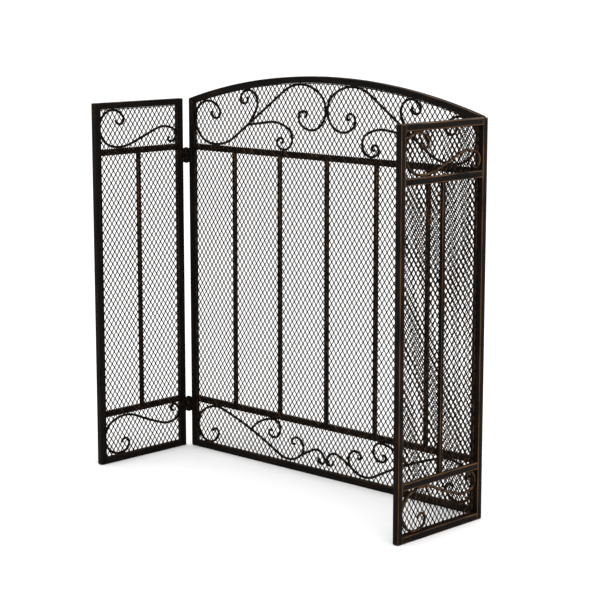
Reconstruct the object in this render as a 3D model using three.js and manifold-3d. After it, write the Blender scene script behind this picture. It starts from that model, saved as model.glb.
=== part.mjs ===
// Three-panel folding fireplace screen in blackened steel.
// Millimetres, +Z up. The room is on the -Y side; the two wings fold back towards the fire on +Y.
// The origin is on the floor, in the middle of the space that the standing screen takes up.
// Touching pieces keep a gap of 0.3 mm, which the welds fill on the real screen.
import * as THREE from 'three';
import { mergeVertices } from 'three/addons/utils/BufferGeometryUtils.js';
import Module from 'manifold-3d';

// ---- driving dimensions --------------------------------------------------
const CENTRE_WIDTH = 770;
const WING_WIDTH = 237;
const SHOULDER_HEIGHT = 740;   // top of the wings and of the centre panel's stiles
const ARCH_RISE = 57.5;        // the centre panel's crown above its shoulders
const TUBE = 12.7;             // half-inch square tube of every outer frame
const GAP = 0.3;

const CROSSBAR_HEIGHT = 12.7;
const CROSSBAR_DEPTH = 8.5;    // flush with the room face, so the mesh passes behind it
const UPPER_CROSSBAR_Z = 640;  // mid-heights
const LOWER_CROSSBAR_Z = 103;
const BAR = 7.5;               // square upright bars
const CENTRE_BARS = 5;

const ROD_RADIUS = 2.4;        // scroll rods
const ROD_SIDES = 6;
const MESH_THICKNESS = 1.6;
const MESH_FROM_BACK = 2.3;    // fire face of the frame to the fire face of the mesh
const STRIP_WIDTH = 2;         // strip that binds the mesh's edge
const STRIP_THICKNESS = 1.5;
const STRIP_FROM_BACK = 0.5;

const HINGE_OFFSET = 4;        // hinge axis: this far outside and behind the centre panel's corner
const KNUCKLE_RADIUS = 5.25;
const BORE_RADIUS = 2.75;
const PIN_RADIUS = 2.4;
const PIN_HEAD_RADIUS = 3.8;
const PIN_HEAD_HEIGHT = 1.5;
const HINGE_HEIGHT = 30;       // three equal knuckles
const LEAF_REACH = 15;         // leaf edge to hinge axis
const LEAF_THICKNESS = 1.6;
const HINGE_BASE_Z = { upper: 607, lower: 76 };

// ---- places worked out from them -----------------------------------------
const HALF_WIDTH = CENTRE_WIDTH / 2;
const INNER_HALF = HALF_WIDTH - TUBE;
const ARCH_RADIUS = (HALF_WIDTH ** 2 + ARCH_RISE ** 2) / (2 * ARCH_RISE);
const ARCH_CENTRE_Z = SHOULDER_HEIGHT + ARCH_RISE - ARCH_RADIUS;
const SCREEN_DEPTH = TUBE + 2 * HINGE_OFFSET + WING_WIDTH;
const CENTRE_BACK_Y = TUBE - SCREEN_DEPTH / 2;            // fire face of the centre panel
const WING_START_Y = CENTRE_BACK_Y + 2 * HINGE_OFFSET;    // hinge edge of a wing
const WING_INNER_X = HALF_WIDTH + 2 * HINGE_OFFSET;       // fire face of a wing
const BARS_FROM_BACK = TUBE - CROSSBAR_DEPTH;             // crossbars, bars and rods lie on this plane
const ROD_FROM_BACK = BARS_FROM_BACK + ROD_RADIUS;
const archHeight = (x, inset) => ARCH_CENTRE_Z + Math.sqrt((ARCH_RADIUS - inset) ** 2 - x ** 2);

// ---- finishes ------------------------------------------------------------
const finish = (color, roughness, metalness) => new THREE.MeshStandardMaterial({ color, roughness, metalness });
const FRAME = finish(0x1d1a18, 0.55, 0.6);
const SCROLL = finish(0x2a211b, 0.5, 0.65);
const MESH = finish(0x151413, 0.6, 0.6);
const HINGE = finish(0x2b1e17, 0.5, 0.7);

// ---- solids --------------------------------------------------------------
const wasm = await Module();
wasm.setup();

function toSolid(geometry) {
  const bare = geometry.index ? geometry.toNonIndexed() : geometry.clone();
  bare.deleteAttribute('normal');
  bare.deleteAttribute('uv');
  const merged = mergeVertices(bare, 1e-4);
  const vertProperties = new Float32Array(merged.attributes.position.array);
  const triVerts = new Uint32Array(merged.index.array);
  return new wasm.Manifold(new wasm.Mesh({ numProp: 3, vertProperties, triVerts }));
}

function toGeometry(solid) {
  const { vertProperties, triVerts } = solid.getMesh();
  const geometry = new THREE.BufferGeometry();
  geometry.setAttribute('position', new THREE.BufferAttribute(vertProperties, 3));
  geometry.setIndex(new THREE.BufferAttribute(triVerts, 1));
  geometry.computeVertexNormals();
  return geometry;
}

// A plate in a panel's own frame: outline across (x) and up (y), thickness from `back` towards the room.
function plate(outline, back, thickness, curveSegments = 12) {
  const geometry = new THREE.ExtrudeGeometry(outline, { depth: thickness, bevelEnabled: false, curveSegments });
  return geometry.translate(0, 0, back);
}

function rectangle(x0, x1, z0, z1) {
  const outline = new THREE.Shape();
  outline.moveTo(x0, z0);
  outline.lineTo(x1, z0);
  outline.lineTo(x1, z1);
  outline.lineTo(x0, z1);
  outline.closePath();
  return outline;
}

// ---- scroll rods ---------------------------------------------------------
// A rod is a start point, a heading in degrees and a list of tangent runs.
// Each run is { bend: radius, turn: degrees } (turn > 0 is to the left) or { straight: length }.
const rad = THREE.MathUtils.degToRad;

function walk(place, run, part) {
  const { x, z, heading } = place;
  if (run.straight) {
    const length = run.straight * part;
    return { x: x + length * Math.cos(heading), z: z + length * Math.sin(heading), heading };
  }
  const side = Math.sign(run.turn) * run.bend;
  const end = heading + rad(run.turn) * part;
  return {
    x: x + side * (Math.sin(end) - Math.sin(heading)),
    z: z - side * (Math.cos(end) - Math.cos(heading)),
    heading: end,
  };
}

class RodCurve extends THREE.Curve {
  // Stations follow the bending, so that a tight curl gets as many as a wide sweep.
  constructor(start, runs, mirror, depth = ROD_FROM_BACK) {
    super();
    this.mirror = mirror;
    this.depth = depth;
    this.pieces = [];
    let place = start;
    for (const run of runs) {
      const length = run.straight ?? run.bend * rad(Math.abs(run.turn));
      const share = run.straight ? 1 : Math.abs(run.turn) / 25 + length / 90;
      this.pieces.push({ place, run, share });
      place = walk(place, run, 1);
    }
    this.total = this.pieces.reduce((sum, piece) => sum + piece.share, 0);
  }

  placeAt(t) {
    let left = Math.min(Math.max(t, 0), 1) * this.total;
    for (const { place, run, share } of this.pieces) {
      if (left <= share) return walk(place, run, left / share);
      left -= share;
    }
    const last = this.pieces.at(-1);
    return walk(last.place, last.run, 1);
  }

  getPoint(t, target = new THREE.Vector3()) {
    const { x, z } = this.placeAt(t);
    return target.set(this.mirror * x, z, this.depth);
  }

  getTangent(t, target = new THREE.Vector3()) {
    const { heading } = this.placeAt(t);
    return target.set(this.mirror * Math.cos(heading), Math.sin(heading), 0);
  }

  getPointAt(t, target) { return this.getPoint(t, target); }
  getTangentAt(t, target) { return this.getTangent(t, target); }
}

function rodSection(radius) {
  const section = new THREE.Shape();
  for (let i = 0; i < ROD_SIDES; i++) {
    const angle = (i * 2 * Math.PI) / ROD_SIDES;
    const corner = [radius * Math.cos(angle), radius * Math.sin(angle)];
    if (i === 0) section.moveTo(...corner);
    else section.lineTo(...corner);
  }
  section.closePath();
  return section;
}

function rod(curve, radius = ROD_RADIUS) {
  const steps = Math.ceil(curve.total);
  return new THREE.ExtrudeGeometry(rodSection(radius), { steps, extrudePath: curve });
}

// A branch starts on its main rod's centre line and is cut back to that rod's surface.
function branch(curve, mainCurve) {
  const cut = toSolid(rod(curve)).subtract(toSolid(rod(mainCurve, ROD_RADIUS + GAP)));
  const pieces = cut.decompose();
  const largest = pieces.reduce((best, piece) => (piece.volume() > best.volume() ? piece : best));
  return toGeometry(largest);
}

const at = (x, z, degrees) => ({ x, z, heading: rad(degrees) });
const bend = (radius, turn) => ({ bend: radius, turn });
const straight = (length) => ({ straight: length });

// x is measured from the left outer edge of the panel; z from the floor.
const CENTRE_TOP_S = {
  start: at(63.2, 713.4, -84),
  runs: [bend(12.5, 215), bend(41, 102), bend(27.5, 25), bend(49.5, 90), bend(95.5, 47), straight(173),
    bend(81, -73), bend(40, -183), bend(17, -78), bend(11.5, -98), bend(5, -119)],
};
const CENTRE_TOP_RISING = {
  start: at(171.5, 695.9, 52),
  runs: [straight(16.8), bend(119.5, 10), bend(25, 177), bend(10, 93), bend(10.5, 122)],
};
const CENTRE_TOP_FALLING = {
  start: at(168, 693.5, 8),
  runs: [straight(61), bend(83.5, -37), bend(23, -195), bend(9.5, -171), bend(4.6, -131)],
};
const CENTRE_BOTTOM_S = {
  start: at(60.6, 42.6, 53),
  runs: [bend(9, -168), bend(31.5, -133), bend(39, -76), bend(68.5, -52), bend(829, -11), straight(19.5),
    bend(54, 70), bend(20, 100), bend(17.5, 84), bend(5.5, 132)],
};
const CENTRE_BOTTOM_RISING = {
  start: at(173.6, 61.4, 52),
  runs: [bend(85.5, -51), bend(18.5, -118), bend(19, -97), bend(6, -157)],
};
const CENTRE_BOTTOM_MIDDLE = {
  start: at(319.5, 33.0, 33),
  runs: [straight(4), bend(159.5, -12), bend(22, -95), bend(8.5, -194)],
};
// On a wing, x is measured from the hinge edge.
const WING_TOP_S = {
  start: at(177.8, 700.8, -118),
  runs: [bend(11, -110), bend(9.5, -79), bend(34.5, -163), bend(42.5, -59), bend(94, -32), straight(70),
    bend(60, 46), bend(14, 94), bend(13.5, 86), bend(4, 118)],
};
const WING_BOTTOM_S = {
  start: at(175.7, 39.7, 121),
  runs: [bend(10, 129), bend(15, 84), bend(39.5, 90), bend(35, 86), bend(76, 54), bend(728, -6),
    bend(56, -39), bend(17.5, -143), bend(8.5, -90), bend(5, -106)],
};

// ---- panels --------------------------------------------------------------
const screen = new THREE.Group();
const standUp = (group) => {           // a panel's outline plane (x, y) becomes (across, up)
  group.rotation.x = Math.PI / 2;
  return group;
};

function add(group, name, geometry, material) {
  const mesh = new THREE.Mesh(geometry, material);
  mesh.name = name;
  group.add(mesh);
}

// Both crossbars of a panel whose outer edges are at x0 and x1.
function addCrossbars(group, prefix, x0, x1) {
  for (const [level, z] of [['upper', UPPER_CROSSBAR_Z], ['lower', LOWER_CROSSBAR_Z]]) {
    const outline = rectangle(x0 + TUBE + GAP, x1 - TUBE - GAP, z - CROSSBAR_HEIGHT / 2, z + CROSSBAR_HEIGHT / 2);
    add(group, `${prefix}_${level}_crossbar`, plate(outline, BARS_FROM_BACK, CROSSBAR_DEPTH), FRAME);
  }
}

function addBar(group, name, x) {
  const bottom = LOWER_CROSSBAR_Z + CROSSBAR_HEIGHT / 2 + GAP;
  const top = UPPER_CROSSBAR_Z - CROSSBAR_HEIGHT / 2 - GAP;
  add(group, name, plate(rectangle(x - BAR / 2, x + BAR / 2, bottom, top), BARS_FROM_BACK, BAR), FRAME);
}

function addFill(group, prefix, outlineInset) {
  const sheet = outlineInset(GAP);
  add(group, `${prefix}_mesh`, plate(sheet, MESH_FROM_BACK, MESH_THICKNESS, 24), MESH);
  const ring = outlineInset(GAP);
  ring.holes.push(outlineInset(STRIP_WIDTH));
  add(group, `${prefix}_mesh_strip`, plate(ring, STRIP_FROM_BACK, STRIP_THICKNESS, 24), MESH);
}

function archedOutline(inset) {
  // The centre frame's opening, drawn `inset` inside its tubes.
  const half = INNER_HALF - inset;
  const radius = ARCH_RADIUS - TUBE - inset;
  const end = Math.asin(half / radius);
  const outline = new THREE.Shape();
  outline.moveTo(-half, TUBE + inset);
  outline.lineTo(half, TUBE + inset);
  outline.absarc(0, ARCH_CENTRE_Z, radius, Math.PI / 2 - end, Math.PI / 2 + end, false);
  outline.closePath();
  return outline;
}

function stileOutline(side) {
  // The stile's top is mitred to the arch.
  const outline = new THREE.Shape();
  outline.moveTo(side * HALF_WIDTH, 0);
  outline.lineTo(side * HALF_WIDTH, SHOULDER_HEIGHT);
  outline.lineTo(side * INNER_HALF, archHeight(INNER_HALF, TUBE));
  outline.lineTo(side * INNER_HALF, 0);
  outline.closePath();
  return outline;
}

function archRailOutline() {
  const outer = Math.asin((HALF_WIDTH - GAP) / ARCH_RADIUS);
  const inner = Math.asin((INNER_HALF - GAP) / (ARCH_RADIUS - TUBE));
  const outline = new THREE.Shape();
  outline.absarc(0, ARCH_CENTRE_Z, ARCH_RADIUS, Math.PI / 2 - outer, Math.PI / 2 + outer, false);
  outline.absarc(0, ARCH_CENTRE_Z, ARCH_RADIUS - TUBE, Math.PI / 2 + inner, Math.PI / 2 - inner, true);
  outline.closePath();
  return outline;
}

function addCentrePanel() {
  const panel = standUp(new THREE.Group());
  panel.position.y = CENTRE_BACK_Y;
  add(panel, 'centre_left_stile', plate(stileOutline(-1), 0, TUBE), FRAME);
  add(panel, 'centre_right_stile', plate(stileOutline(1), 0, TUBE), FRAME);
  add(panel, 'centre_bottom_rail', plate(rectangle(GAP - INNER_HALF, INNER_HALF - GAP, 0, TUBE), 0, TUBE), FRAME);
  add(panel, 'centre_arch_rail', plate(archRailOutline(), 0, TUBE, 24), FRAME);
  addCrossbars(panel, 'centre', -HALF_WIDTH, HALF_WIDTH);
  for (let i = 1; i <= CENTRE_BARS; i++) {
    addBar(panel, `centre_bar_${i}`, (i * CENTRE_WIDTH) / (CENTRE_BARS + 1) - HALF_WIDTH);
  }
  addFill(panel, 'centre', archedOutline);
  for (const [sideName, mirror] of [['left', 1], ['right', -1]]) {
    const curveOf = ({ start, runs }) => new RodCurve({ ...start, x: start.x - HALF_WIDTH }, runs, mirror);
    const top = curveOf(CENTRE_TOP_S);
    const bottom = curveOf(CENTRE_BOTTOM_S);
    add(panel, `${sideName}_top_scroll`, rod(top), SCROLL);
    add(panel, `${sideName}_top_scroll_rising`, branch(curveOf(CENTRE_TOP_RISING), top), SCROLL);
    add(panel, `${sideName}_top_scroll_falling`, branch(curveOf(CENTRE_TOP_FALLING), top), SCROLL);
    add(panel, `${sideName}_bottom_scroll`, rod(bottom), SCROLL);
    add(panel, `${sideName}_bottom_scroll_rising`, branch(curveOf(CENTRE_BOTTOM_RISING), bottom), SCROLL);
    add(panel, `${sideName}_bottom_scroll_middle`, branch(curveOf(CENTRE_BOTTOM_MIDDLE), bottom), SCROLL);
  }
  screen.add(panel);
}

// side is +1 for the wing on +X and -1 for the one on -X. Across runs from the hinge edge.
function addWing(name, side) {
  const panel = standUp(new THREE.Group());
  const turned = new THREE.Group();
  turned.rotation.z = (side * Math.PI) / 2;
  turned.position.set(side * WING_INNER_X, WING_START_Y, 0);
  turned.add(panel);
  const across = (a, b, z0, z1) => rectangle(Math.min(side * a, side * b), Math.max(side * a, side * b), z0, z1);
  const far = WING_WIDTH - TUBE;
  add(panel, `${name}_hinge_stile`, plate(across(0, TUBE, 0, SHOULDER_HEIGHT), 0, TUBE), FRAME);
  add(panel, `${name}_free_stile`, plate(across(far, WING_WIDTH, 0, SHOULDER_HEIGHT), 0, TUBE), FRAME);
  const top = across(TUBE + GAP, far - GAP, SHOULDER_HEIGHT - TUBE, SHOULDER_HEIGHT);
  add(panel, `${name}_top_rail`, plate(top, 0, TUBE), FRAME);
  add(panel, `${name}_bottom_rail`, plate(across(TUBE + GAP, far - GAP, 0, TUBE), 0, TUBE), FRAME);
  addCrossbars(panel, name, Math.min(0, side * WING_WIDTH), Math.max(0, side * WING_WIDTH));
  addBar(panel, `${name}_bar`, (side * WING_WIDTH) / 2);
  addFill(panel, name, (inset) =>
    across(TUBE + inset, far - inset, TUBE + inset, SHOULDER_HEIGHT - TUBE - inset));
  for (const [level, scroll] of [['top', WING_TOP_S], ['bottom', WING_BOTTOM_S]]) {
    add(panel, `${name}_${level}_scroll`, rod(new RodCurve(scroll.start, scroll.runs, side)), SCROLL);
  }
  screen.add(turned);
}

// ---- hinges --------------------------------------------------------------
// Drawn about the axis. The centre leaf lies on -X, behind the centre stile; the wing leaf is its
// mirror image in the plane that halves the right angle between the panels.
const KNUCKLE_HEIGHT = (HINGE_HEIGHT - 2 * GAP) / 3;

function cylinder(radius, z0, z1, sides) {
  const geometry = new THREE.CylinderGeometry(radius, radius, z1 - z0, sides);
  return toSolid(geometry.rotateX(Math.PI / 2).translate(0, 0, (z0 + z1) / 2));
}

function block(x0, x1, y0, y1, z0, z1) {
  const geometry = new THREE.BoxGeometry(x1 - x0, y1 - y0, z1 - z0);
  return toSolid(geometry.translate((x0 + x1) / 2, (y0 + y1) / 2, (z0 + z1) / 2));
}

function leaf(knuckles) {
  const back = GAP - HINGE_OFFSET;
  const front = back + LEAF_THICKNESS;
  const clear = Math.sqrt((KNUCKLE_RADIUS + GAP) ** 2 - front ** 2);
  let solid = block(-LEAF_REACH, -clear, back, front, 0, HINGE_HEIGHT);
  for (const index of knuckles) {
    const z0 = index * (KNUCKLE_HEIGHT + GAP);
    const z1 = z0 + KNUCKLE_HEIGHT;
    solid = solid.add(cylinder(KNUCKLE_RADIUS, z0, z1, 16)).add(block(-LEAF_REACH, -BORE_RADIUS, back, front, z0, z1));
  }
  return toGeometry(solid.subtract(cylinder(BORE_RADIUS, -1, HINGE_HEIGHT + 1, 16)));
}

function pin() {
  const low = -GAP;
  const high = HINGE_HEIGHT + GAP;
  const profile = [
    [0, low - PIN_HEAD_HEIGHT], [PIN_HEAD_RADIUS * 0.7, low - PIN_HEAD_HEIGHT], [PIN_HEAD_RADIUS, low - 0.5],
    [PIN_HEAD_RADIUS, low], [PIN_RADIUS, low], [PIN_RADIUS, high], [PIN_HEAD_RADIUS, high],
    [PIN_HEAD_RADIUS, high + 0.5], [PIN_HEAD_RADIUS * 0.7, high + PIN_HEAD_HEIGHT], [0, high + PIN_HEAD_HEIGHT],
  ].map(([r, z]) => new THREE.Vector2(r, z));
  return new THREE.LatheGeometry(profile, 16).rotateX(Math.PI / 2);
}

function mirrored(geometry, plane) {
  // Reflect, then turn the faces round so that they still point outwards.
  const copy = geometry.clone().applyMatrix4(plane);
  const order = copy.index.array;
  for (let i = 0; i < order.length; i += 3) [order[i], order[i + 1]] = [order[i + 1], order[i]];
  copy.computeVertexNormals();
  return copy;
}

const ACROSS_X = new THREE.Matrix4().makeScale(-1, 1, 1);
const ACROSS_DIAGONAL = new THREE.Matrix4().set(0, -1, 0, 0, -1, 0, 0, 0, 0, 0, 1, 0, 0, 0, 0, 1);

function addHinge(side, level) {
  const name = `${side > 0 ? 'right' : 'left'}_${level}_hinge`;
  const hinge = new THREE.Group();
  const x = side * (HALF_WIDTH + HINGE_OFFSET);
  hinge.position.set(x, CENTRE_BACK_Y + HINGE_OFFSET, HINGE_BASE_Z[level]);
  const centreLeaf = leaf([0, 2]);
  const wingLeaf = mirrored(leaf([1]), ACROSS_DIAGONAL);
  add(hinge, `${name}_centre_leaf`, side > 0 ? centreLeaf : mirrored(centreLeaf, ACROSS_X), HINGE);
  add(hinge, `${name}_wing_leaf`, side > 0 ? wingLeaf : mirrored(wingLeaf, ACROSS_X), HINGE);
  add(hinge, `${name}_pin`, pin(), HINGE);
  screen.add(hinge);
}

addCentrePanel();
for (const [name, side] of [['left_wing', -1], ['right_wing', 1]]) {
  addWing(name, side);
  addHinge(side, 'upper');
  addHinge(side, 'lower');
}

export default screen;
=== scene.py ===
# %% [markdown]
# # A folding fireplace screen, steel by steel
# A working model already holds the shape, the size and the joints of the screen: an arched centre
# panel and two wings on pin hinges. This lesson makes the steel that the eye sees: square tubes with
# softened corners, round scroll rods, expanded-metal sheets, hinges and welds, all in a black finish
# that has been rubbed back to bronze. Everything is in metres, in the working model's own frame, so a
# new piece goes exactly where its plain twin stands.

# %% Load the working model
import math
import random

import bmesh
import bpy
from mathutils import Matrix, Vector


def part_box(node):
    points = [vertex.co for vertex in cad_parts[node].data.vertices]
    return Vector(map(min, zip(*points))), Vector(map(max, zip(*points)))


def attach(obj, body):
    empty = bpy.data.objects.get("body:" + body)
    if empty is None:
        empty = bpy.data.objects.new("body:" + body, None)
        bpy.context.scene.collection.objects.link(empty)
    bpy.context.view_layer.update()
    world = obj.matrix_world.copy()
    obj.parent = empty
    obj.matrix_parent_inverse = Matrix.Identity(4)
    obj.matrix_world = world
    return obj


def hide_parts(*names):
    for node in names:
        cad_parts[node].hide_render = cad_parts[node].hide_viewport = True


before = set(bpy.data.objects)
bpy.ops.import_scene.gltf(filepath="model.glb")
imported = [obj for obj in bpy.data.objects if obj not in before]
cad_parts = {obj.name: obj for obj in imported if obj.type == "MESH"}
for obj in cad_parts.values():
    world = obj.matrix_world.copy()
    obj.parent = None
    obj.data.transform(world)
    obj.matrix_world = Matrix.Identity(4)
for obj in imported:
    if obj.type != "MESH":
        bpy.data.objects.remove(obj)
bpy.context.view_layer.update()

MM = 0.001
UP = Vector((0, 0, 1))

# %% [markdown]
# The main view looks at the fire side of the screen, from behind its left wing, a little above it.
# A long lens keeps the upright tubes almost parallel, as in a catalogue view.

# %% Camera
VIEW_FROM = Vector((-2.4226, 2.4960, 0.9753))
VIEW_TURN = 223.6
VIEW_DOWN = 9.79
LENS = 110.16
SEES_AS_FAR_AS = 600

camera_data = bpy.data.cameras.new("main_view")
camera_data.lens = LENS
camera_data.sensor_width = 36
camera_data.clip_end = SEES_AS_FAR_AS
camera = bpy.data.objects.new("main_view", camera_data)
camera.location = VIEW_FROM
camera.rotation_euler = (math.radians(90 - VIEW_DOWN), 0, math.radians(VIEW_TURN))
bpy.context.scene.collection.objects.link(camera)
bpy.context.scene.camera = camera
print("camera stands", round(VIEW_FROM.length, 2), "m from the origin")

# %% [markdown]
# Black steel shows its form only by what it mirrors. A bright, even surround gives every face the same
# soft light, and three large softboxes add a gentle difference between faces. The Standard view keeps
# a pale floor pale and a charcoal face charcoal, so the colours set below are the colours seen. Each
# softbox has a place, a width in metres and a power in watts.

# %% Surround and softboxes
SURROUND = 1.3
SOFTBOXES = {
    "key_softbox": ((-2.2, 0.9, 2.6), 1.6, 16),
    "side_softbox": ((1.4, 2.6, 1.8), 1.4, 8),
    "room_softbox": ((-1.6, -2.2, 2.0), 1.6, 12),
}
AIM = Vector((0, 0, 0.4))

bpy.context.scene.view_settings.view_transform = "Standard"
world = bpy.data.worlds.new("surround")
world.use_nodes = True
world.node_tree.nodes["Background"].inputs["Color"].default_value = (1, 1, 1, 1)
world.node_tree.nodes["Background"].inputs["Strength"].default_value = SURROUND
bpy.context.scene.world = world

for name, (place, size, watts) in SOFTBOXES.items():
    light_data = bpy.data.lights.new(name, "AREA")
    light_data.size = size
    light_data.energy = watts
    light = bpy.data.objects.new(name, light_data)
    light.location = place
    light.rotation_euler = (AIM - Vector(place)).to_track_quat("-Z", "Y").to_euler()
    bpy.context.scene.collection.objects.link(light)
    print(name, "is", size, "m wide and gives", watts, "W")

# %% [markdown]
# ## Shader sums
# A finish is a sum of a few patterns. Writing it as sums in Python is easier to read than a picture of
# wires, so one small class wraps a socket: an operator on it adds a Math node, and one method adds any
# other node.

# %% A socket that can be added and multiplied
class Signal:
    """An output socket that takes part in sums."""

    def __init__(self, tree, socket=None):
        """Without a socket it is only a place to start adding nodes."""
        self.tree = tree
        self.socket = socket

    def node(self, kind, settings=None, inputs=None, output=0):
        """Adds a node: its settings first, then its sockets, and gives back one of its outputs."""
        added = self.tree.nodes.new(kind)
        for name, value in (settings or {}).items():
            setattr(added, name, value)
        self.feed(added, inputs or {})
        return Signal(self.tree, added.outputs[output])

    def feed(self, node, inputs):
        """Links or sets the named sockets of a node."""
        for name, value in inputs.items():
            if isinstance(value, Signal):
                self.tree.links.new(value.socket, node.inputs[name])
            else:
                node.inputs[name].default_value = value

    def sum(self, operation, first, second, clamp=False):
        """One Math node."""
        return self.node("ShaderNodeMath", {"operation": operation, "use_clamp": clamp},
                         {0: first, 1: second})

    def __add__(self, other):
        return self.sum("ADD", self, other)

    def __sub__(self, other):
        return self.sum("SUBTRACT", self, other)

    def __rsub__(self, other):
        return self.sum("SUBTRACT", other, self)

    def __mul__(self, other):
        return self.sum("MULTIPLY", self, other)

    def held(self):
        """The same value, kept between 0 and 1."""
        return self.sum("ADD", self, 0.0, clamp=True)

    def between(self, first, second):
        """A colour that goes from first to second as this value goes from 0 to 1."""
        return self.node("ShaderNodeMix", {"data_type": "RGBA"}, {0: self, 6: first, 7: second}, output=2)

    def noise(self, places, size, detail=3.0):
        """Soft patches about `size` metres across, from 0 to 1."""
        return self.node("ShaderNodeTexNoise", {}, {"Vector": places, "Scale": 1 / size,
                                                    "Detail": detail, "Roughness": 0.55})


# %% [markdown]
# The floor is one wide, plain, pale disc. It reaches so far that its edge is at the horizon from any
# side, and it gets a faint mottle, as a painted studio floor has.

# %% Floor
FLOOR_REACH = 250
FLOOR_DROP = 0.2 * MM                 # keeps the floor just under the feet
MOTTLE = 0.35
PALE = (0.93, 0.93, 0.93, 1)
PALER = (0.95, 0.95, 0.95, 1)

floor_finish = bpy.data.materials.new("studio_floor")
floor_finish.use_nodes = True
floor_start = Signal(floor_finish.node_tree)
floor_places = floor_start.node("ShaderNodeTexCoord", output="Object")
mottle = floor_start.noise(floor_places, MOTTLE)
floor_start.feed(floor_finish.node_tree.nodes["Principled BSDF"], {
    "Base Color": mottle.between(PALE, PALER),
    "Roughness": 0.9,
    "Specular IOR Level": 0.1,
})

floor_mesh = bmesh.new()
bmesh.ops.create_circle(floor_mesh, cap_ends=True, segments=64, radius=FLOOR_REACH)
bmesh.ops.translate(floor_mesh, verts=floor_mesh.verts, vec=(0, 0, -FLOOR_DROP))
floor_data = bpy.data.meshes.new("studio_floor")
floor_mesh.to_mesh(floor_data)
floor_mesh.free()
floor_data.materials.append(floor_finish)
floor = bpy.data.objects.new("studio_floor", floor_data)
bpy.context.scene.collection.objects.link(floor)
print("the floor reaches", FLOOR_REACH, "m")

# %% [markdown]
# ## The finish: black, rubbed back to bronze
# The same attribute also holds a painted top highlight: the tops and upper corners of the tubes and the
# upper side of the rods get more bronze, as overhead light would show them.
# The maker sprays the welded screen bronze, then black, and rubs the black off wherever a cloth
# reaches: along the corners of the tubes, on the crowns of the rods and on the raised ridges of the
# sheet. So the shader needs to know two things about each point: how exposed it is, which the meshes
# below carry as the attribute "wear", and where it is, for the streaks and specks that break the rub
# up. Tubes are wiped along their length, so they also carry "grain", a place squeezed along the tube.
#
# Two patterns are added to the wear: patches as wide as a fingertip and specks where the cloth skips.
# The black is wiped through where the sum passes the coat's strength. Pits from the spray, finer than
# both, only dent the surface.

# %% Rubbed steel
BLACK = (0.0020, 0.0017, 0.0016, 1)
BROWN = (0.0110, 0.0066, 0.0042, 1)
BRONZE = (0.128, 0.063, 0.025, 1)
SPECK = 1.7 * MM
PIT = 0.6 * MM
COAT_STRENGTH = 2.5
COAT_DEPTH = 0.15 * MM


def rubbed_steel(name, places, rub=1.0, patch=14 * MM, sheen=0.5):
    """A black coat worn to bronze, plus the painted top highlight that tubes and rods carry in the same
    attribute: `rub` is how far it is worn, `sheen` how rough the black is.
    """
    material = bpy.data.materials.new(name)
    material.use_nodes = True
    start = Signal(material.node_tree)
    if places == "grain":
        here = start.node("ShaderNodeAttribute", {"attribute_name": "grain"}, output="Vector")
    else:
        here = start.node("ShaderNodeTexCoord", output="Object")
    wear_and_top_sheen = start.node("ShaderNodeAttribute", {"attribute_name": "wear_and_top_sheen"}, output="Fac")
    patches = start.noise(here, patch, detail=4.0)
    specks = start.noise(here, SPECK, detail=2.0)
    pits = start.noise(here, PIT, detail=1.0)
    # the bronze mask: real rub, plus the painted top highlight held in the attribute on tubes and rods
    worn_and_top_sheen = ((wear_and_top_sheen * 1.5 + patches * 2.4 + specks * 0.7 - COAT_STRENGTH) * rub).held()
    smudged = ((patches + specks * 0.5 - 0.62) * 2.2).held()
    coat = smudged.between(BLACK, BROWN)
    start.feed(material.node_tree.nodes["Principled BSDF"], {
        "Base Color": worn_and_top_sheen.between(coat, BRONZE),
        "Metallic": worn_and_top_sheen * 0.75 + 0.1,
        "Roughness": (sheen - worn_and_top_sheen * 0.1 + specks * 0.16).held(),
        "Specular IOR Level": 0.042,
        "Normal": start.node("ShaderNodeBump", {}, {
            "Height": pits * 0.6 + worn_and_top_sheen * -0.5, "Strength": 0.35, "Distance": COAT_DEPTH}),
    })
    return material


FRAME_FINISH = rubbed_steel("rubbed_frame_steel_with_painted_sheen", "grain")
SCROLL_FINISH = rubbed_steel("rubbed_scroll_steel_with_painted_sheen", "object", rub=1.1, patch=9 * MM)
SHEET_FINISH = rubbed_steel("rubbed_sheet_steel", "object", rub=0.9, patch=11 * MM, sheen=0.6)
HINGE_FINISH = rubbed_steel("rubbed_hinge_steel", "object", rub=1.2, patch=6 * MM, sheen=0.42)
WELD_FINISH = rubbed_steel("sooty_weld_steel", "object", rub=0.8, patch=3 * MM, sheen=0.5)
print("finishes:", [m.name for m in bpy.data.materials if "steel" in m.name])

# %% [markdown]
# ## Where things are
# A panel is drawn flat, with x across it, y from its fire face towards the room and z up, and then
# stood in its place. The four drawings below are the centre panel from its left edge, the same from
# its right edge, mirrored, and the two wings from their hinge edges. All places come from the working
# model's own tubes.

# %% Panel drawings
stile_low, stile_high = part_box("centre_left_stile")
TUBE = stile_high.x - stile_low.x
SHOULDER = stile_high.z
CENTRE_WIDTH = -2 * stile_low.x


def stand(corner, across, room):
    """The move that stands a drawing up on its panel."""
    return Matrix.Translation(corner) @ Matrix((across, room, UP)).transposed().to_4x4()


def wing_drawing(name, side):
    """The drawing of a wing whose room side looks along x towards `side`."""
    low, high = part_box(f"{name}_hinge_stile")
    fire_face = high.x if side < 0 else low.x
    return stand(Vector((fire_face, low.y, 0)), (0, 1, 0), (side, 0, 0))


DRAWINGS = {
    "left": stand(Vector((stile_low.x, stile_high.y, 0)), (1, 0, 0), (0, -1, 0)),
    "right": stand(Vector((-stile_low.x, stile_high.y, 0)), (-1, 0, 0), (0, -1, 0)),
    "left_wing": wing_drawing("left_wing", -1),
    "right_wing": wing_drawing("right_wing", 1),
}
ROOM = {
    "centre": Vector((0, -1, 0)),
    "left_wing": Vector((-1, 0, 0)),
    "right_wing": Vector((1, 0, 0)),
}
print("tube", round(TUBE / MM, 2), "mm, shoulders at", round(SHOULDER / MM, 1), "mm")
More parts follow.
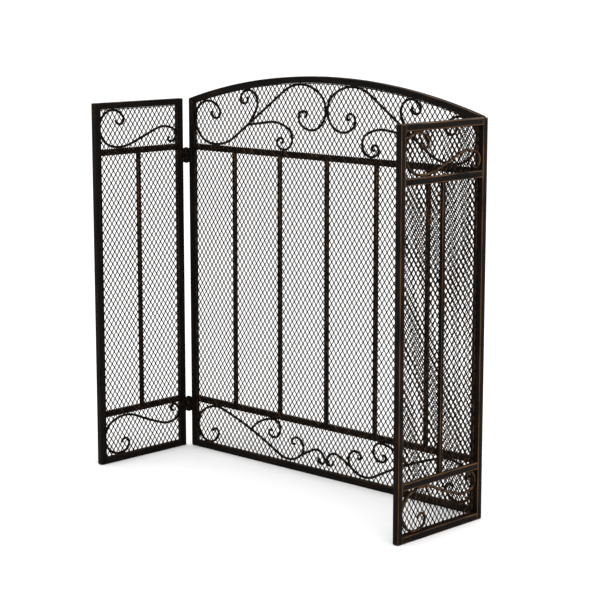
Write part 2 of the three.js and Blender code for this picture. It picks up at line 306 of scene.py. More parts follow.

# %% [markdown]
# A mesh becomes a piece in the same way every time: it gets its finish, rides on the body that it
# moves with, and hides the plain part that it stands for. Welds stand for none, because the working
# model leaves them out.

# %% From mesh to piece
def put_out(name, shape, body, finish, node=None):
    """Turns a finished bmesh into a piece of the screen."""
    mesh = bpy.data.meshes.new(name)
    shape.to_mesh(mesh)
    shape.free()
    if "custom_normal" in mesh.attributes:
        # a copied part keeps its old shading, which would hide the new corners
        mesh.attributes.remove(mesh.attributes["custom_normal"])
    mesh.materials.clear()
    mesh.materials.append(finish)
    piece = bpy.data.objects.new(name, mesh)
    bpy.context.scene.collection.objects.link(piece)
    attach(piece, body)
    if node:
        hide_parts(node)
    return piece


def set_wear_and_top_sheen(shape, rule):
    """Stores rule(vertex) as the attribute "wear"."""
    shape.normal_update()
    layer = shape.verts.layers.float.new("wear_and_top_sheen")
    for vert in shape.verts:
        vert[layer] = rule(vert)


def shade_smooth(shape):
    for face in shape.faces:
        face.smooth = True


# %% [markdown]
# ## Square tubes and bars
# Half-inch square tube is rolled, so its corners are rounded to about a millimetre and the light runs
# along them as thin lines. The working model's tube has the right places and cuts but knife edges. A
# copy of it is merged into whole faces, its long corners are bevelled, and each flat side gets an inset
# a few millimetres in. The inset carries the bronze: full on the corners, gone at the inner ring. Corners
# towards the room are handled and wiped most. Upper corners get the same full bronze and the tops a
# little, as a painted top highlight, and the fire side only shows a faint brown band down the middle of
# its tubes.

# %% Merged copies with soft corners
MERGE = 0.01 * MM
FLAT = math.radians(0.3)
SHARP = math.radians(30)


def merged_copy(node):
    """The plain part as one closed shape whose flat sides are single faces, without its colours."""
    shape = bmesh.new()
    shape.from_mesh(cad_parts[node].data)
    for layers in (shape.loops.layers.uv, shape.loops.layers.color):
        for layer in list(layers.values()):
            layers.remove(layer)
    bmesh.ops.remove_doubles(shape, verts=shape.verts, dist=MERGE)
    bmesh.ops.dissolve_limit(shape, angle_limit=FLAT, verts=shape.verts, edges=shape.edges)
    return shape


def soften(shape, edges, radius, rounds=3):
    """Rounds the given corners and gives back the faces that stay flat."""
    rounded = bmesh.ops.bevel(shape, geom=edges, offset=radius, offset_type="OFFSET", segments=rounds,
                              profile=0.5, affect="EDGES", clamp_overlap=True, material=-1)
    made = set(rounded["faces"])
    return [face for face in shape.faces if face not in made]


def sharp_edges(shape):
    return [edge for edge in shape.edges if edge.calc_face_angle(0) > SHARP]


def facing(face):
    """The main direction of a face, such as (0, -1, 0)."""
    axis = max(range(3), key=lambda i: abs(face.normal[i]))
    return tuple(int(math.copysign(i == axis, face.normal[axis])) for i in range(3))


def ring_inside(shape, faces, width):
    """Insets every flat side; a side of several faces, as on the arch, is inset as one."""
    sides = {}
    for face in faces:
        sides.setdefault(facing(face), []).append(face)
    for side in sides.values():
        bmesh.ops.inset_region(shape, faces=side, thickness=width, depth=0, use_boundary=True,
                               use_even_offset=True)


trial = merged_copy("centre_arch_rail")
print("the arch has", len(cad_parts["centre_arch_rail"].data.polygons), "faces before merging and",
      len(trial.faces), "after")
trial.free()

# %% [markdown]
# The rule for a tube's rub and painted top highlight looks at each vertex. Where the faces round it
# agree, it is on the flat of a side; where they don't, it is on a corner. The levels run from 0, never
# touched, to 1, worn bare nearly everywhere.

# %% Rub and painted top highlight on tubes
CORNER_RUB_AND_SHEEN = 1.05
SIDE_RUB = 0.12
PAINTED_TOP_SHEEN = 0.2
ROOM_RUB = 0.06
TOWARDS_ROOM = 0.25                   # a corner turned this far to the room gets wiped; one turned as far up as below gets a painted top highlight
UPWARDS = 0.45
SAME_WAY = 0.9                        # cosine between directions that count as one
LEVEL = 0.999                         # cosine between faces that lie in one plane


def tube_wear_and_top_sheen(room, band):
    """The rule for the rub and painted top highlight where the room side looks along `room`; `band` is the
    rub on the fire side.
    """
    def rule(vert):
        normals = [face.normal for face in vert.link_faces]
        level = min(a.dot(b) for a in normals for b in normals) > LEVEL
        towards = vert.normal.dot(room)
        if not level:
            # a corner turned to the room is wiped; a corner turned up gets the same full bronze as a painted
            # top highlight
            return CORNER_RUB_AND_SHEEN if towards > TOWARDS_ROOM or vert.normal.z > UPWARDS else SIDE_RUB
        # a top face gets a little bronze as a painted top sheen
        if vert.normal.z > SAME_WAY:
            return PAINTED_TOP_SHEEN
        if towards < -SAME_WAY:
            return band
        if towards > SAME_WAY:
            return ROOM_RUB
        return SIDE_RUB
    return rule


GRAIN_SQUEEZE = 0.16


def set_grain(shape, along):
    """Stores the squeezed place that the streaks follow."""
    layer = shape.verts.layers.float_vector.new("grain")
    squeeze = Vector([GRAIN_SQUEEZE if i == along else 1.0 for i in range(3)])
    for vert in shape.verts:
        vert[layer] = vert.co * squeeze


# %% [markdown]
# A stile's lower end is its foot. It is ground round, across the panel, so that it doesn't scratch the
# hearth. The corners along a tube are bevelled after the foot, so the small radius runs round it too.

# %% One tube
FOOT_RADIUS = 3.5 * MM
FOOT_ROUNDS = 6
END_ON = 0.6                          # a face turned this far along the tube is one of its ends


def round_the_foot(shape, room):
    """Rounds the bottom edges of a stile that run from its room side to its fire side."""
    feet = []
    for edge in shape.edges:
        line = (edge.verts[1].co - edge.verts[0].co).normalized()
        if abs(line.dot(room)) > SAME_WAY and edge.verts[0].co.z < MERGE:
            feet.append(edge)
    soften(shape, feet, FOOT_RADIUS, rounds=FOOT_ROUNDS)


def tube_piece(node, body, radius, inset, open_ends, band):
    """One tube, rail, crossbar or bar in finished steel; `band` is the rub down its fire side."""
    shape = merged_copy(node)
    low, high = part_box(node)
    size = high - low
    along = max(range(3), key=lambda i: size[i])
    if open_ends:
        round_the_foot(shape, ROOM[body])
    corners = []
    for edge in sharp_edges(shape):
        at_an_end = any(abs(face.normal[along]) > END_ON for face in edge.link_faces)
        if open_ends or not at_an_end:
            corners.append(edge)
    flats = soften(shape, corners, radius)
    ringed = [face for face in flats if open_ends or abs(face.normal[along]) <= END_ON]
    ring_inside(shape, ringed, inset)
    set_wear_and_top_sheen(shape, tube_wear_and_top_sheen(ROOM[body], band))
    set_grain(shape, along)
    shade_smooth(shape)
    for edge in shape.edges:
        edge.smooth = edge.calc_face_angle(0) < SHARP
    return put_out(f"{node}_steel", shape, body, FRAME_FINISH, node)


# %% [markdown]
# Stiles stand on the floor and show their ends, so all their edges are softened. Rails, crossbars and
# bars end in a weld, so their end edges stay square and meet the next tube closely. Bars are thinner
# stock than tubes: their corners are tighter and the cloth hardly reaches their fire side.

# %% Stiles, rails, crossbars and bars
TUBE_STOCK = {"radius": 1.2 * MM, "inset": 2.3 * MM, "band": 0.34}
BAR_STOCK = {"radius": 0.7 * MM, "inset": 1.5 * MM, "band": 0.12}
tubes = {
    "centre": ["left_stile", "right_stile", "bottom_rail", "arch_rail", "upper_crossbar", "lower_crossbar",
               "bar_1", "bar_2", "bar_3", "bar_4", "bar_5"],
    "left_wing": ["hinge_stile", "free_stile", "top_rail", "bottom_rail", "upper_crossbar",
                  "lower_crossbar", "bar"],
}
tubes["right_wing"] = tubes["left_wing"]
tube_pieces = []
for body, parts in tubes.items():
    for part in parts:
        stock = BAR_STOCK if part.startswith("bar") else TUBE_STOCK
        tube_pieces.append(tube_piece(f"{body}_{part}", body, open_ends="stile" in part, **stock))
print(len(tube_pieces), "tubes and bars,",
      sum(len(piece.data.polygons) for piece in tube_pieces), "faces")

# %% [markdown]
# ## Scroll rods
# A scroll is one length of round rod bent cold round a set of formers, so it is a chain of true arcs
# with a few straight runs, and each arc starts in the direction in which the last one ended. That is
# exactly what a ring swept by spin gives: the ring turns about the former's centre, then about the
# next one. Each scroll is drawn as a start, a heading in degrees and its runs; a positive turn is to
# the left. Lengths are in millimetres from the panel's left or hinge edge and from the floor.

# %% The scrolls' drawings
def bend(radius, turn):
    """An arc round a former."""
    return ("bend", radius * MM, math.radians(turn))


def straight(length):
    """A run that stays straight."""
    return ("straight", length * MM, 0)


def start_at(x, z, heading):
    """Where the rod starts, and which way it heads."""
    return (x * MM, z * MM, math.radians(heading))


CENTRE_SCROLLS = {
    "top_scroll": (start_at(63.2, 713.4, -84), [
        bend(12.5, 215), bend(41, 102), bend(27.5, 25), bend(49.5, 90), bend(95.5, 47), straight(173),
        bend(81, -73), bend(40, -183), bend(17, -78), bend(11.5, -98), bend(5, -119)]),
    "top_scroll_rising": (start_at(171.5, 695.9, 52), [
        straight(16.8), bend(119.5, 10), bend(25, 177), bend(10, 93), bend(10.5, 122)]),
    "top_scroll_falling": (start_at(168, 693.5, 8), [
        straight(61), bend(83.5, -37), bend(23, -195), bend(9.5, -171), bend(4.6, -131)]),
    "bottom_scroll": (start_at(60.6, 42.6, 53), [
        bend(9, -168), bend(31.5, -133), bend(39, -76), bend(68.5, -52), bend(829, -11), straight(19.5),
        bend(54, 70), bend(20, 100), bend(17.5, 84), bend(5.5, 132)]),
    "bottom_scroll_rising": (start_at(173.6, 61.4, 52), [
        bend(85.5, -51), bend(18.5, -118), bend(19, -97), bend(6, -157)]),
    "bottom_scroll_middle": (start_at(319.5, 33.0, 33), [
        straight(4), bend(159.5, -12), bend(22, -95), bend(8.5, -194)]),
}
WING_SCROLLS = {
    "top_scroll": (start_at(177.8, 700.8, -118), [
        bend(11, -110), bend(9.5, -79), bend(34.5, -163), bend(42.5, -59), bend(94, -32), straight(70),
        bend(60, 46), bend(14, 94), bend(13.5, 86), bend(4, 118)]),
    "bottom_scroll": (start_at(175.7, 39.7, 121), [
        bend(10, 129), bend(15, 84), bend(39.5, 90), bend(35, 86), bend(76, 54), bend(728, -6),
        bend(56, -39), bend(17.5, -143), bend(8.5, -90), bend(5, -106)]),
}


def is_branch(name):
    """A branch is welded to the side of a main scroll."""
    return name.endswith(("rising", "falling", "middle"))


for part, (start, runs) in CENTRE_SCROLLS.items():
    length = sum(size if kind == "straight" else size * abs(turn) for kind, size, turn in runs)
    print(part, "takes", round(length / MM), "mm of rod")

# %% [markdown]
# Sweeping needs three moves: carry the ring round a former, carry it straight on, and close an end
# with a dome. The hammered tip of a real scroll is a little thicker than the rod, so the ring swells
# just before the dome. Each ring of the tip has a step forward in millimetres and a size against the
# rod's.

# %% Carry a ring along the drawing
ROD_RADIUS = 2.6 * MM
ROD_SIDES = 12
ROD_DEPTH = 6.6 * MM                  # rod's centre line, from the panel's fire face
TURN_STEP = math.radians(11)
LONG_STEP = 24 * MM
TIP_RINGS = [(0.9, 1.10), (0.9, 1.16), (0.5, 1.06), (0.6, 0.86), (0.45, 0.55), (0.2, 0.22)]
print("a rod is", round(2 * ROD_RADIUS / MM, 1), "mm thick and", ROD_SIDES, "faces round")


def heading_of(angle):
    """The direction of a heading, in the drawing."""
    return Vector((math.cos(angle), 0, math.sin(angle)))


def left_of(angle):
    """The direction to the left of a heading."""
    return Vector((-math.sin(angle), 0, math.cos(angle)))


def verts_in(geometry):
    """The vertices among what an operator gives back."""
    return [item for item in geometry if isinstance(item, bmesh.types.BMVert)]


def once(items):
    """The items in their order, each of them once."""
    return list(dict.fromkeys(items))


def loop_of(geometry):
    """The edges of a ring, from what an operator gives back."""
    verts = verts_in(geometry)
    ring = set(verts)
    return once(edge for vert in verts for edge in vert.link_edges if edge.other_vert(vert) in ring)


def carry(shape, ring, place, angle, run):
    """Takes the ring along one run and gives back the ring, the place and the heading at its end."""
    kind, size, turn = run
    if kind == "straight":
        grown = bmesh.ops.extrude_edge_only(shape, edges=ring)["geom"]
        step = heading_of(angle) * size
        bmesh.ops.translate(shape, verts=verts_in(grown), vec=step)
        return loop_of(grown), place + step, angle
    former = place + left_of(angle) * math.copysign(size, turn)
    steps = math.ceil(abs(turn) / TURN_STEP + size * abs(turn) / LONG_STEP)
    verts = once(vert for edge in ring for vert in edge.verts)
    spun = bmesh.ops.spin(shape, geom=verts + ring, cent=former, axis=(0, -1, 0), dvec=(0, 0, 0),
                          angle=turn, steps=steps, use_merge=False, use_duplicate=False)
    end = former - left_of(angle + turn) * math.copysign(size, turn)
    return loop_of(spun["geom_last"]), end, angle + turn


def close_tip(shape, ring, place, forward):
    """Swells the ring a little and closes it with a dome."""
    before = 1.0
    for advance, scale in TIP_RINGS:
        grown = bmesh.ops.extrude_edge_only(shape, edges=ring)["geom"]
        moved = verts_in(grown)
        step = forward * advance * MM
        place = place + step
        bmesh.ops.translate(shape, verts=moved, vec=step)
        bmesh.ops.scale(shape, verts=moved, vec=[scale / before] * 3, space=Matrix.Translation(-place))
        before = scale
        ring = loop_of(grown)
    bmesh.ops.edgeloop_fill(shape, edges=ring)


# %% [markdown]
# A branch starts inside the rod that it is welded to, so its first end only needs a flat cap. Rods are
# rubbed on the crown that looks at the room and stay black behind; their upper side gets a little more
# bronze as a painted top highlight.

# %% Bend the scrolls
def swept_rod(start, runs, branch):
    """The whole rod, in its flat drawing."""
    x, z, angle = start
    place = Vector((x, ROD_DEPTH, z))
    shape = bmesh.new()
    square_to = Matrix((left_of(angle), (0, 1, 0), heading_of(angle))).transposed().to_4x4()
    bmesh.ops.create_circle(shape, cap_ends=False, segments=ROD_SIDES, radius=ROD_RADIUS,
                            matrix=Matrix.Translation(place) @ square_to)
    first_ring = list(shape.edges)
    ring, end, end_angle = first_ring, place, angle
    for run in runs:
        ring, end, end_angle = carry(shape, ring, end, end_angle, run)
    close_tip(shape, ring, end, heading_of(end_angle))
    if branch:
        bmesh.ops.edgeloop_fill(shape, edges=first_ring)
    else:
        close_tip(shape, first_ring, place, -heading_of(angle))
    return shape


def rod_wear_and_top_sheen(vert):
    """Most rub on the crown towards the room, and a painted top highlight on top; y is still the drawing's
    depth.
    """
    # the last term is painted top highlight: more bronze on the upper side of the rod
    return 0.2 + 0.68 * max(0.0, vert.normal.y) + 0.2 * max(0.0, vert.normal.z)


def scroll_piece(name, drawing, body, start, runs):
    """Bends one rod, rubs it and stands it on its panel."""
    shape = swept_rod(start, runs, is_branch(name))
    bmesh.ops.recalc_face_normals(shape, faces=shape.faces)
    set_wear_and_top_sheen(shape, rod_wear_and_top_sheen)
    bmesh.ops.transform(shape, matrix=DRAWINGS[drawing], verts=shape.verts)
    bmesh.ops.recalc_face_normals(shape, faces=shape.faces)
    shade_smooth(shape)
    return put_out(f"{name}_steel", shape, body, SCROLL_FINISH, name)


scroll_pieces = []
for drawing in ("left", "right"):
    for part, (start, runs) in CENTRE_SCROLLS.items():
        scroll_pieces.append(scroll_piece(f"{drawing}_{part}", drawing, "centre", start, runs))
for drawing in ("left_wing", "right_wing"):
    for part, (start, runs) in WING_SCROLLS.items():
        scroll_pieces.append(scroll_piece(f"{drawing}_{part}", drawing, drawing, start, runs))
print(len(scroll_pieces), "scroll rods,",
      sum(len(piece.data.polygons) for piece in scroll_pieces), "faces")

# %% [markdown]
# ## Expanded metal
# The infill isn't woven: it is sheet steel, slit in a staggered pattern and pulled open. Each slit
# becomes a tall diamond, the strands between are flat ribbons, and where two rows meet, an uncut bond
# stays, wider than the strands and tipped out of the sheet. One stretched six-sided cell holds all of
# that: two short upright sides are the bonds, four long sides are the strands. The cell is copied over
# the opening, its corners are moved in depth for the tip of the bonds, and the wireframe operator
# turns every side into a solid strand. That is far fewer faces than modelling each ribbon, and the
# holes are real holes.

# %% One cell
CELL_WIDTH = 11.9 * MM
ROW_PITCH = 8.25 * MM                 # half the height of a diamond
BOND_HEIGHT = 2.2 * MM
BOND_TIP = 0.45 * MM                  # how far a bond's ends stand out, before the sheet is rolled flatter
print("a diamond is", round(CELL_WIDTH / MM, 1), "mm wide and", round(2 * ROW_PITCH / MM, 1), "mm tall")


def one_cell(shape):
    """A tall six-sided cell whose upright sides are the bonds."""
    bmesh.ops.create_circle(shape, cap_ends=True, segments=6, radius=1.0)
    for vert in shape.verts:
        on_bond = abs(vert.co.x) > 0.5
        rise = BOND_HEIGHT / 2 if on_bond else ROW_PITCH - BOND_HEIGHT / 2
        upper_end = (vert.co.y > 0) == on_bond
        vert.co = (
            math.copysign(CELL_WIDTH / 2, vert.co.x) if on_bond else 0,
            BOND_TIP if upper_end else -BOND_TIP,
            math.copysign(rise, vert.co.y),
        )


# %% [markdown]
# A row is the cell copied across; the field is the row copied up, every second one shifted by half a
# cell. Merging the doubled corners joins the cells into one net.

# %% A net of cells
def copies(shape, count, step):
    """Adds copies of all there is, each moved by step(i)."""
    pattern = shape.verts[:] + shape.edges[:] + shape.faces[:]
    for i in range(1, count):
        made = bmesh.ops.duplicate(shape, geom=pattern)["geom"]
        bmesh.ops.translate(shape, verts=verts_in(made), vec=step(i))


def net(width, height):
    """Cells over an opening that is centred on x = 0 and stands on z = 0."""
    shape = bmesh.new()
    one_cell(shape)
    across = math.ceil(width / CELL_WIDTH) + 2
    rows = math.ceil(height / ROW_PITCH) + 2
    copies(shape, across, lambda i: (i * CELL_WIDTH, 0, 0))
    copies(shape, rows, lambda i: (-(i % 2) * CELL_WIDTH / 2, 0, i * ROW_PITCH))
    bmesh.ops.remove_doubles(shape, verts=shape.verts, dist=MERGE)
    bmesh.ops.translate(shape, verts=shape.verts, vec=(-(across - 1) * CELL_WIDTH / 2, 0, -ROW_PITCH / 2))
    return shape


trial = net(100 * MM, 100 * MM)
print("a net over 100 mm square has", len(trial.faces), "cells and", len(trial.verts), "corners")
trial.free()

# %% [markdown]
# The wireframe operator makes every side equally wide. Each new vertex remembers how far across its
# bond stands, because the operator copies the attribute of the corner that it came from, so the bonds
# are widened by moving vertices away from that line, and leaned by moving them in depth. The notch
# between two strands stands on the line itself and stays.

# %% Strands and wide bonds
STRAND = 1.45 * MM
BOND_WIDEN = 2.35
BOND_LEAN = 0.5                       # depth gained for each step across a bond
SHEET_FLATNESS = 0.6                  # share of its depth that the rolled sheet keeps
print("strands are about", round(STRAND / MM, 2), "mm wide, bonds", round(STRAND * BOND_WIDEN / MM, 1), "mm")


def to_strands(shape, lean):
    """Turns the net's sides into solid strands and bonds."""
    line = shape.verts.layers.float.new("bond_line")
    for vert in shape.verts:
        vert[line] = vert.co.x
    bmesh.ops.wireframe(shape, faces=shape.faces, thickness=STRAND, offset=0, use_replace=True,
                        use_boundary=True, use_even_offset=True)
    for vert in shape.verts:
        across = (vert.co.x - vert[line]) * BOND_WIDEN
        vert.co.x = vert[line] + across
        vert.co.y = vert.co.y * SHEET_FLATNESS + across * lean
    shape.verts.layers.float.remove(line)


# %% [markdown]
# The sheet is sheared to the opening, so the strands at its edge end in clean cuts. Under the arch a
# fan of straight shear cuts follows the curve closely. Those cuts only look at the top of the sheet,
# which keeps them quick. Every cut leaves small open ends, which are filled, because each strand is
# solid.

# %% Shear to size
CUT_MERGE = 0.001 * MM


def shear(shape, place, outward, above=-1.0):
    """Cuts the faces that stand higher than `above`, by default all, and drops what lies beyond."""
    faces = [face for face in shape.faces if face.verts[0].co.z > above]
    verts = once(vert for face in faces for vert in face.verts)
    edges = once(edge for face in faces for edge in face.edges)
    bmesh.ops.bisect_plane(shape, geom=verts + edges + faces, dist=CUT_MERGE,
                           plane_co=place, plane_no=outward, clear_outer=True)


ARCH_CUTS = 26
BELOW_THE_ARCH = 30 * MM
print("the arch takes", ARCH_CUTS + 1, "cuts")


def shear_arch(shape, width, height, radius):
    """Follows the arch, from one shoulder to the other, with straight cuts."""
    half_fan = math.asin(width / 2 / radius)
    shoulder = height - radius * (1 - math.cos(half_fan))
    for i in range(ARCH_CUTS + 1):
        turn = half_fan * (2 * i / ARCH_CUTS - 1)
        outward = Vector((math.sin(turn), 0, math.cos(turn)))
        shear(shape, Vector((0, 0, height - radius)) + outward * radius, outward, shoulder - BELOW_THE_ARCH)


# %% [markdown]
# The flat faces of a strand look at the room or the fire and take the rub; its cut sides stay black. A
# sheet can be welded in either way up, and that turns the lean of its bonds. The signs of the lean
# below are those of each panel's own drawing.

# %% Sheets
SHEET_GAP = 0.3 * MM


def sheet_piece(body, lean, arch=None):
    """The expanded sheet of one panel; `arch` is the radius of its top."""
    low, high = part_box(f"{body}_mesh")
    along = 0 if body == "centre" else 1
    width = (high - low)[along]
    height = high.z - low.z
    shape = net(width, height)
    to_strands(shape, lean)
    shear(shape, (-width / 2, 0, 0), (-1, 0, 0))
    shear(shape, (width / 2, 0, 0), (1, 0, 0))
    shear(shape, (0, 0, 0), (0, 0, -1))
    if arch:
        shear_arch(shape, width, height, arch)
    else:
        shear(shape, (0, 0, height), (0, 0, 1))
    bmesh.ops.holes_fill(shape, edges=[edge for edge in shape.edges if edge.is_boundary], sides=0)
    bmesh.ops.recalc_face_normals(shape, faces=shape.faces)
    set_wear_and_top_sheen(shape, lambda vert: 0.25 + 0.55 * abs(vert.normal.y))
    middle = (low + high) / 2
    across = (1, 0, 0) if body == "centre" else (0, 1, 0)
    bmesh.ops.transform(shape, verts=shape.verts,
                        matrix=stand(Vector((middle.x, middle.y, low.z)), across, ROOM[body]))
    bmesh.ops.recalc_face_normals(shape, faces=shape.faces)
    return put_out(f"{body}_expanded_sheet", shape, body, SHEET_FINISH, f"{body}_mesh")


arch_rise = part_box("centre_arch_rail")[1].z - SHOULDER
arch_outside = ((CENTRE_WIDTH / 2) ** 2 + arch_rise ** 2) / (2 * arch_rise)
sheet_pieces = [
    sheet_piece("centre", -BOND_LEAN, arch=arch_outside - TUBE - SHEET_GAP),
    sheet_piece("left_wing", -BOND_LEAN),
    sheet_piece("right_wing", BOND_LEAN),
]
for piece in sheet_pieces:
    piece.data.calc_loop_triangles()
    print(piece.name, len(piece.data.loop_triangles), "triangles")

# %% [markdown]
# ## Flat strips
# A narrow strip of steel runs round the fire side of each opening and binds the sharp cut edge of the
# sheet to the frame. It keeps its plain shape; its edges are broken a little, as a file leaves them.

# %% Edge strips
FILED = 0.3 * MM
STRIP_BAND = 0.1

for body, room in ROOM.items():
    node = f"{body}_mesh_strip"
    strip = merged_copy(node)
    soften(strip, sharp_edges(strip), FILED, rounds=2)
    # the tube rule also gives the strip's upper edges and top a painted top highlight
    set_wear_and_top_sheen(strip, tube_wear_and_top_sheen(room, STRIP_BAND))
    set_grain(strip, 2)
    strip_piece = put_out(f"{node}_steel", strip, body, FRAME_FINISH, node)
    print(strip_piece.name, len(strip_piece.data.polygons), "faces")

# %% [markdown]
# ## Hinges
# Each wing hangs on two loose-pin hinges: a leaf with two knuckles welded behind the centre stile, a
# leaf with one knuckle welded to the wing, and a pin through all three. The leaves keep their shape and
# get filed edges. A pin is turned, so it is a half outline carried once round its axis.

# %% Leaves
def leaf_wear(vert):
    """Upper and lower edges are handled most."""
    return 0.35 + 0.35 * max(abs(vert.normal.z), 0.4)


for side in ("left", "right"):
    for level in ("upper", "lower"):
        for leaf, body in (("centre_leaf", "centre"), ("wing_leaf", f"{side}_wing")):
            node = f"{side}_{level}_hinge_{leaf}"
            shape = merged_copy(node)
            soften(shape, sharp_edges(shape), FILED, rounds=2)
            set_wear_and_top_sheen(shape, leaf_wear)
            shade_smooth(shape)
            put_out(f"{node}_steel", shape, body, HINGE_FINISH, node)
            print(node, "hangs on", body)

# %% [markdown]
# The pin's outline starts on the axis under its lower head and ends on the axis above the upper one.
# Both heads are peened into low domes. A dome is a list of radius and height, against those of the
# whole head.

# %% Turned pins
PIN_RADIUS = 2.4 * MM
HEAD_RADIUS = 3.8 * MM
HEAD_HEIGHT = 1.5 * MM
DOME = [(0.0, 0.0), (0.35, 0.06), (0.68, 0.25), (0.9, 0.55), (1.0, 0.82), (1.0, 1.0)]
PIN_TURNS = 20


def pin_outline(low, high):
    """Radius and height along one side of the pin."""
    below = [(r * HEAD_RADIUS, low + h * HEAD_HEIGHT) for r, h in DOME]
    above = [(r * HEAD_RADIUS, high - h * HEAD_HEIGHT) for r, h in reversed(DOME)]
    return below + [(PIN_RADIUS, low + HEAD_HEIGHT), (PIN_RADIUS, high - HEAD_HEIGHT)] + above


for side in ("left", "right"):
    for level in ("upper", "lower"):
        node = f"{side}_{level}_hinge_pin"
        low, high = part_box(node)
        axis = (low + high) / 2
        shape = bmesh.new()
        outline = [shape.verts.new((axis.x + r, axis.y, z)) for r, z in pin_outline(low.z, high.z)]
        edges = [shape.edges.new(pair) for pair in zip(outline, outline[1:])]
        bmesh.ops.spin(shape, geom=outline + edges, cent=axis, axis=(0, 0, 1), dvec=(0, 0, 0),
                       angle=math.tau, steps=PIN_TURNS, use_merge=True, use_duplicate=False)
        bmesh.ops.remove_doubles(shape, verts=shape.verts, dist=MERGE)
        bmesh.ops.recalc_face_normals(shape, faces=shape.faces)
        set_wear_and_top_sheen(shape, lambda vert: 0.3 + 0.6 * abs(vert.normal.z))
        shade_smooth(shape)
        put_out(f"{node}_steel", shape, "centre", HINGE_FINISH, node)
        print(node, "is", round((high.z - low.z) / MM, 1), "mm long")

# %% [markdown]
# ## Welds
# Everything in a panel is joined by small arc welds, and they are what tells hand work from a casting.
# A tack weld is a low bead: a small ball, flattened and turned at random, with only twenty faces
# because there are nearly two hundred of them. The beads of one panel are one piece.

# %% A bead
random.seed(7)
BEAD = 1.5 * MM
BEAD_CORNERS = 12
FLATTENED = Matrix.Diagonal((1.0, 0.8, 0.7, 1))
print("a bead is about", round(2 * BEAD / MM, 1), "mm wide")


def bead(shape, place, size=BEAD):
    """One flattened weld bead."""
    made = bmesh.ops.create_icosphere(shape, subdivisions=1, radius=size)["verts"]
    for vert in made:
        vert.co *= random.uniform(0.92, 1.08)
    turn = Matrix.Rotation(random.uniform(0, math.tau), 4, Vector((1, 1, 1)))
    bmesh.ops.transform(shape, matrix=Matrix.Translation(place) @ turn @ FLATTENED, verts=made)


BEAD_SPACING = 2.2 * MM
SHAKE = 0.15                          # millimetres, off the line of the seam


def seam(shape, start, end):
    """A run of overlapping beads."""
    count = max(2, round((end - start).length / BEAD_SPACING))
    for i in range(count + 1):
        shaken = Vector([random.uniform(-SHAKE, SHAKE) * MM for _ in range(3)])
        bead(shape, start.lerp(end, i / count) + shaken, BEAD * random.uniform(0.75, 0.95))


# %% [markdown]
# Where a rail or crossbar meets a stile, a seam of beads runs down the joint in the corner between
# them. Bars are tacked to the crossbars on both flanks.

# %% Seams on the frame
SEAM_SHARE = 0.8                      # of the joint's length


def corner_seams(shape, node, along, room):
    """Welds the two ends of a rail to the stiles, on its upper side or, on a top rail, its under side."""
    low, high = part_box(node)
    height = low.z if node.endswith("top_rail") else high.z
    fire, front = sorted((low, high), key=lambda corner: corner.dot(room))
    for end in (low, high):
        first, last = end.copy(), end.copy()
        for point, side in ((first, fire), (last, front)):
            for axis in range(2):
                if axis != along:
                    point[axis] = side[axis]
            point.z = height
        middle = (first + last) / 2
        seam(shape, middle.lerp(first, SEAM_SHARE), middle.lerp(last, SEAM_SHARE))


def bar_tacks(shape, node, along):
    """Tacks a bar at both ends and on both flanks."""
    low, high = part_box(node)
    middle = (low + high) / 2
    for height in (low.z, high.z):
        for flank in (low, high):
            tack = middle.copy()
            tack[along] = flank[along]
            tack.z = height
            bead(shape, tack)


# %% [markdown]
# A scroll touches the frame or a crossbar at the outside of a bend. Walking along the drawing in small
# steps finds these touches: a step is one if it is closer to a tube's edge than all the steps around
# it and close enough to be held by a tack.

# %% Touches of the scrolls
WALK = 2 * MM
REACH = 1.6 * MM                      # the widest gap that a tack can bridge
STEPS_AROUND = 6
FAR = 1.0


def walk(start, runs):
    """Places about 2 mm apart along a scroll's centre line, across and up."""
    x, z, angle = start
    place = Vector((x, z))
    places = [place.copy()]
    for kind, size, turn in runs:
        length = size if kind == "straight" else size * abs(turn)
        steps = max(2, round(length / WALK))
        for _ in range(steps):
            middle = angle + turn / steps / 2
            chord = length / steps
            place = place + Vector((math.cos(middle), math.sin(middle))) * chord
            places.append(place.copy())
            angle += turn / steps
    return places


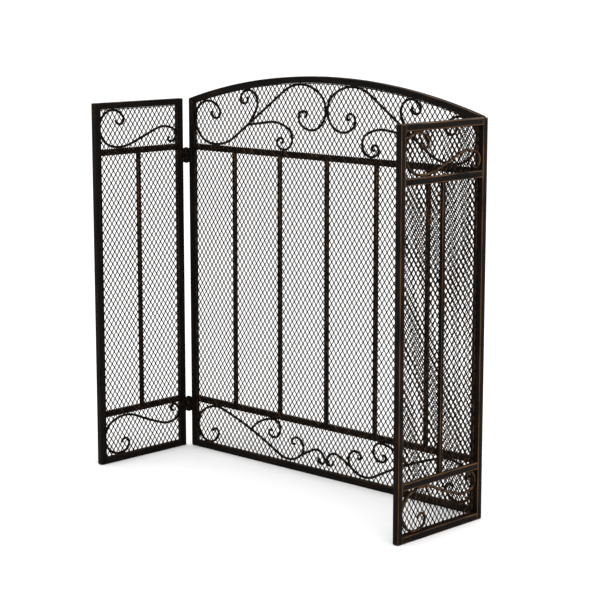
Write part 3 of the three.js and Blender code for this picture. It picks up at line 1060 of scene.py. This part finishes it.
def edges_near(width, arched):
    """Distances from a place to the tube edges round it, as functions of across and up."""
    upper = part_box("centre_upper_crossbar")
    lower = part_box("centre_lower_crossbar")
    rules = [
        lambda p: p.x - TUBE,
        lambda p: width - TUBE - p.x,
        lambda p: p.y - TUBE,
        lambda p: p.y - upper[1].z if p.y > upper[1].z else FAR,
        lambda p: lower[0].z - p.y if p.y < lower[0].z else FAR,
    ]
    if arched:
        centre_z = SHOULDER + arch_rise - arch_outside
        rules.append(lambda p: arch_outside - TUBE - math.hypot(p.x - width / 2, p.y - centre_z))
    else:
        rules.append(lambda p: SHOULDER - TUBE - p.y)
    return rules


def touches(start, runs, rules):
    """Places where the rod's surface meets a tube."""
    places = walk(start, runs)
    found = []
    for rule in rules:
        gaps = [rule(place) for place in places]
        for i, gap in enumerate(gaps):
            around = gaps[max(0, i - STEPS_AROUND):i + STEPS_AROUND + 1]
            if 0 < gap < ROD_RADIUS + REACH and gap == min(around):
                found.append(places[i])
    return found


# %% [markdown]
# With the places known, each panel gets its piece of welds: seams, tacks, touches, and one larger bead
# where each branch leaves its main scroll.

# %% Weld pieces
BRANCH_BEAD = 1.7 * BEAD
WELD_RUB = 0.35
WING_WIDTH = (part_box("left_wing_free_stile")[1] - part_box("left_wing_hinge_stile")[0]).y
RAILS = {
    "centre": ["bottom_rail", "upper_crossbar", "lower_crossbar"],
    "left_wing": ["top_rail", "bottom_rail", "upper_crossbar", "lower_crossbar"],
}
RAILS["right_wing"] = RAILS["left_wing"]
for body, room in ROOM.items():
    along = 0 if body == "centre" else 1
    shape = bmesh.new()
    for part in RAILS[body]:
        corner_seams(shape, f"{body}_{part}", along, room)
    for part in tubes[body]:
        if part.startswith("bar"):
            bar_tacks(shape, f"{body}_{part}", along)
    arched = body == "centre"
    width = CENTRE_WIDTH if arched else WING_WIDTH
    scrolls = CENTRE_SCROLLS if arched else WING_SCROLLS
    for drawing in (("left", "right") if arched else (body,)):
        for part, (start, runs) in scrolls.items():
            spots = [(spot, BEAD) for spot in touches(start, runs, edges_near(width, arched))]
            if is_branch(part):
                spots.append((Vector(start[:2]), BRANCH_BEAD))
            for spot, size in spots:
                bead(shape, DRAWINGS[drawing] @ Vector((spot.x, ROD_DEPTH, spot.y)), size)
    bmesh.ops.recalc_face_normals(shape, faces=shape.faces)
    set_wear_and_top_sheen(shape, lambda vert: WELD_RUB)
    shade_smooth(shape)
    print(body, "welds:", len(shape.verts) // BEAD_CORNERS, "beads")
    put_out(f"{body}_welds", shape, body, WELD_FINISH)
